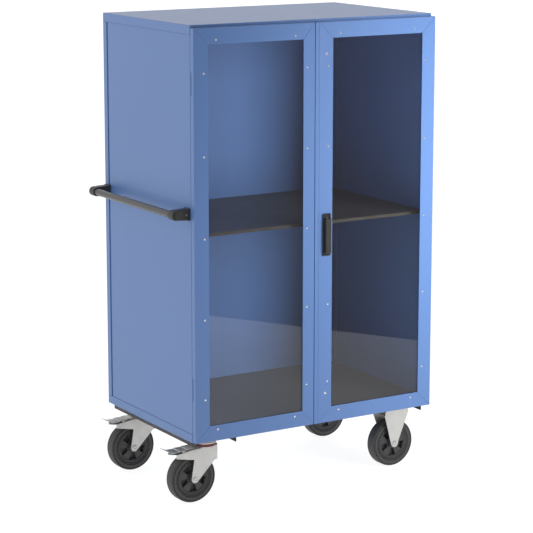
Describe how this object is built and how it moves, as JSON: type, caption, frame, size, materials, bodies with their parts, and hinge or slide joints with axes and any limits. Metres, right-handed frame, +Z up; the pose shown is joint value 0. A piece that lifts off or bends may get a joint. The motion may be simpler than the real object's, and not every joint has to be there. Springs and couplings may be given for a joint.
{
  "type": "cupboard trolley",
  "caption": "Tall steel cupboard on castors with glazed hinged doors, an inner shelf, a swing handle lock and a side push handle.",
  "frame": {"origin": "on the floor, under the middle of the whole outline", "axes": "+Z up, +X along the front away from the push handle, -Y out of the doors"},
  "size_m": [0.9584, 0.6104, 1.5153],
  "materials": {
    "blue_paint": "semi-matt powder coat",
    "dark_board": "dark laminate",
    "black_paint": "semi-matt black paint",
    "black_plastic": "fine grained",
    "clear_plastic": "clear polished acrylic",
    "zinc_plate": "bright zinc plating",
    "red_seal": "dark red",
    "black_rubber": "matt rubber",
    "rim_plastic": "satin black"
  },
  "bodies": {
    "cabinet": {"top_cap": "blue_paint", "left_side_panel": "blue_paint", "right_side_panel": "blue_paint", "back_panel": "blue_paint", "floor_pan": "blue_paint", "floor_sheet": "dark_board", "shelf": "dark_board", "left_chassis_channel": "black_paint", "right_chassis_channel": "black_paint", "push_tube": "black_paint", "push_bracket_front": "black_plastic", "push_bracket_back": "black_plastic", "left_upper_hinge_pin_half": "blue_paint", "left_lower_hinge_pin_half": "blue_paint", "right_upper_hinge_pin_half": "blue_paint", "right_lower_hinge_pin_half": "blue_paint", "front_left_top_plate": "zinc_plate", "back_left_top_plate": "zinc_plate", "front_right_fork": "zinc_plate", "back_right_fork": "zinc_plate", "front_right_axle": "zinc_plate", "back_right_axle": "zinc_plate"},
    "left_door": {"left_door_top_rail": "blue_paint", "left_door_bottom_rail": "blue_paint", "left_door_hinge_stile": "blue_paint", "left_door_meeting_stile": "blue_paint", "left_door_pane": "clear_plastic", "left_upper_hinge_door_half": "blue_paint", "left_lower_hinge_door_half": "blue_paint"},
    "right_door": {"right_door_top_rail": "blue_paint", "right_door_bottom_rail": "blue_paint", "right_door_hinge_stile": "blue_paint", "right_door_lock_stile": "blue_paint", "right_door_pane": "clear_plastic", "closing_strip": "blue_paint", "handle_dish": "black_plastic", "upper_rod_guide": "black_plastic", "lower_rod_guide": "black_plastic", "right_upper_hinge_door_half": "blue_paint", "right_lower_hinge_door_half": "blue_paint"},
    "lock_spindle": {"lock_spindle": "zinc_plate"},
    "lock_lever": {"lock_lever": "black_plastic"},
    "upper_rod": {"upper_rod": "zinc_plate"},
    "lower_rod": {"lower_rod": "zinc_plate"},
    "front_left_swivel": {"front_left_seal": "red_seal", "front_left_fork": "zinc_plate", "front_left_axle": "zinc_plate"},
    "back_left_swivel": {"back_left_seal": "red_seal", "back_left_fork": "zinc_plate", "back_left_axle": "zinc_plate"},
    "front_left_pedal": {"front_left_pedal": "zinc_plate"},
    "back_left_pedal": {"back_left_pedal": "zinc_plate"},
    "front_left_wheel": {"front_left_rim": "rim_plastic", "front_left_tyre": "black_rubber"},
    "back_left_wheel": {"back_left_rim": "rim_plastic", "back_left_tyre": "black_rubber"},
    "front_right_wheel": {"front_right_rim": "rim_plastic", "front_right_tyre": "black_rubber"},
    "back_right_wheel": {"back_right_rim": "rim_plastic", "back_right_tyre": "black_rubber"}
  },
  "joints": [
    {"name": "left_door_hinge", "type": "hinge", "parent": "cabinet", "child": "left_door", "pos_m": [-0.41421, -0.26875, 0.86247], "axis": [0, 0, -1], "range_deg": [0, 105]},
    {"name": "right_door_hinge", "type": "hinge", "parent": "cabinet", "child": "right_door", "pos_m": [0.47479, -0.26875, 0.86247], "axis": [0, 0, 1], "range_deg": [0, 105]},
    {"name": "handle_turn", "type": "hinge", "parent": "right_door", "child": "lock_spindle", "pos_m": [0.06159, -0.28825, 0.88462], "axis": [0, -1, 0], "range_deg": [0, 90]},
    {"name": "lever_lift", "type": "hinge", "parent": "lock_spindle", "child": "lock_lever", "pos_m": [0.06159, -0.2995, 0.88462], "axis": [-1, 0, 0], "range_deg": [0, 25]},
    {"name": "upper_rod_slide", "type": "slide", "parent": "right_door", "child": "upper_rod", "axis": [0, 0, 1], "range_m": [0, 0.0126]},
    {"name": "lower_rod_slide", "type": "slide", "parent": "right_door", "child": "lower_rod", "axis": [0, 0, -1], "range_m": [0, 0.0126]},
    {"name": "front_left_swivel_turn", "type": "hinge", "parent": "cabinet", "child": "front_left_swivel", "pos_m": [-0.32751, -0.18515, 0.18061], "axis": [0, 0, 1], "continuous": true},
    {"name": "front_left_brake", "type": "hinge", "parent": "front_left_swivel", "child": "front_left_pedal", "pos_m": [-0.37651, -0.18515, 0.17011], "axis": [0, -1, 0], "range_deg": [0, 6]},
    {"name": "back_left_swivel_turn", "type": "hinge", "parent": "cabinet", "child": "back_left_swivel", "pos_m": [-0.32751, 0.22465, 0.18061], "axis": [0, 0, 1], "continuous": true},
    {"name": "back_left_brake", "type": "hinge", "parent": "back_left_swivel", "child": "back_left_pedal", "pos_m": [-0.37651, 0.22465, 0.17011], "axis": [0, -1, 0], "range_deg": [0, 6]},
    {"name": "front_left_wheel_spin", "type": "hinge", "parent": "front_left_swivel", "child": "front_left_wheel", "pos_m": [-0.37751, -0.18515, 0.07962], "axis": [0, 1, 0], "continuous": true},
    {"name": "back_left_wheel_spin", "type": "hinge", "parent": "back_left_swivel", "child": "back_left_wheel", "pos_m": [-0.37751, 0.22465, 0.07962], "axis": [0, 1, 0], "continuous": true},
    {"name": "front_right_wheel_spin", "type": "hinge", "parent": "cabinet", "child": "front_right_wheel", "pos_m": [0.38809, -0.18515, 0.07962], "axis": [0, 1, 0], "continuous": true},
    {"name": "back_right_wheel_spin", "type": "hinge", "parent": "cabinet", "child": "back_right_wheel", "pos_m": [0.38809, 0.22465, 0.07962], "axis": [0, 1, 0], "continuous": true}
  ],
  "couplings": [
    {"joint": "upper_rod_slide", "follows": "handle_turn", "m_per_rad": 0.008},
    {"joint": "lower_rod_slide", "follows": "handle_turn", "m_per_rad": 0.008}
  ]
}
